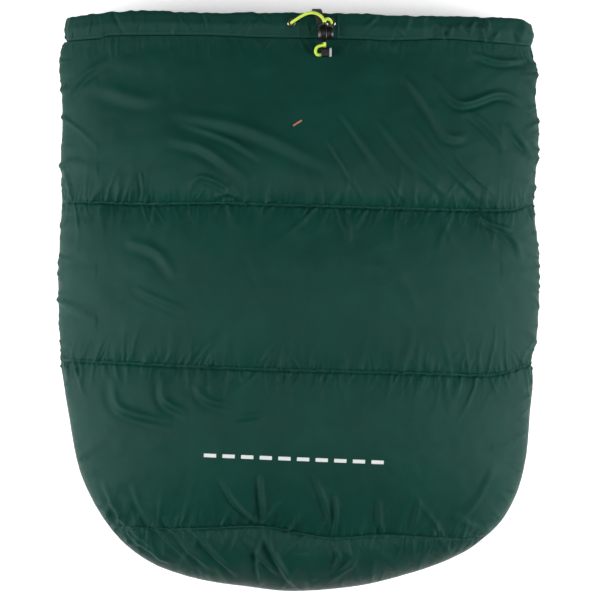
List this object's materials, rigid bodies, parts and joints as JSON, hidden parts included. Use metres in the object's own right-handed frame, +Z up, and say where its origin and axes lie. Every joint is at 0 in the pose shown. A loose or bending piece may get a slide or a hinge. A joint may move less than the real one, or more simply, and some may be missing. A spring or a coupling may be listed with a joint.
{
  "type": "down foot sack",
  "caption": "Quilted down foot sack with a rounded toe, an open mouth and a drawcord hem closed by a sprung cord lock.",
  "frame": {"origin": "on the ground, under the middle of the sack lying on its back", "axes": "+X across the sack, to the right as it is seen from the front; +Y from the toe to the mouth; +Z up, out of the sack's front"},
  "size_m": [0.477, 0.5801, 0.1297],
  "materials": {
    "shell_fabric": "semi-gloss downproof nylon taffeta",
    "lining_fabric": "satin nylon taffeta",
    "down": "loose down, matt",
    "baffle_netting": "fine netting, matt",
    "gunmetal": "polished gunmetal plate",
    "lime_elastic": "braided elastic, satin",
    "black_plastic": "moulded, semi-gloss",
    "grey_plastic": "moulded, semi-gloss",
    "spring_steel": "bright wire",
    "black_webbing": "woven tape, matt"
  },
  "bodies": {
    "sack": {"back_baffle_1": "baffle_netting", "back_baffle_2": "baffle_netting", "back_baffle_3": "baffle_netting", "back_down_1": "down", "back_down_2": "down", "back_down_3": "down", "back_down_4": "down", "back_lining": "lining_fabric", "back_shell": "shell_fabric", "cord_lead_left": "lime_elastic", "cord_lead_right": "lime_elastic", "drawcord_in_hem": "lime_elastic", "eyelet_left": "gunmetal", "eyelet_right": "gunmetal", "front_baffle_1": "baffle_netting", "front_baffle_2": "baffle_netting", "front_baffle_3": "baffle_netting", "front_down_1": "down", "front_down_2": "down", "front_down_3": "down", "front_down_4": "down", "front_lining": "lining_fabric", "front_shell": "shell_fabric", "hem_back": "shell_fabric", "hem_front": "shell_fabric", "washer_left": "gunmetal", "washer_right": "gunmetal"},
    "cord_lock": {"cord_lock_barrel": "black_plastic", "cord_lock_spring": "spring_steel", "anchor_tab": "black_webbing", "cord_tail_left": "lime_elastic", "cord_tail_right": "lime_elastic"},
    "plunger": {"cord_lock_plunger": "black_plastic"},
    "cord_end": {"cord_end_body": "black_plastic", "cord_end_clip": "grey_plastic"}
  },
  "joints": [
    {"name": "lock_flip", "type": "hinge", "parent": "sack", "child": "cord_lock", "pos_m": [0.0178, 0.2893, 0.0795], "axis": [-1, 0, 0], "range_deg": [0, 90], "deforming": ["cord_lead_left", "cord_lead_right"]},
    {"name": "plunger_press", "type": "slide", "parent": "cord_lock", "child": "plunger", "axis": [-1, 0, 0], "range_m": [0, 0.002], "stiffness_N_per_m": 1200, "springref_m": -0.001, "deforming": ["cord_lock_spring"]},
    {"name": "cord_pull", "type": "slide", "parent": "cord_lock", "child": "cord_end", "axis": [0, -0.7071, 0.7071], "range_m": [0, 0.05], "deforming": ["cord_tail_left", "cord_tail_right"]}
  ]
}
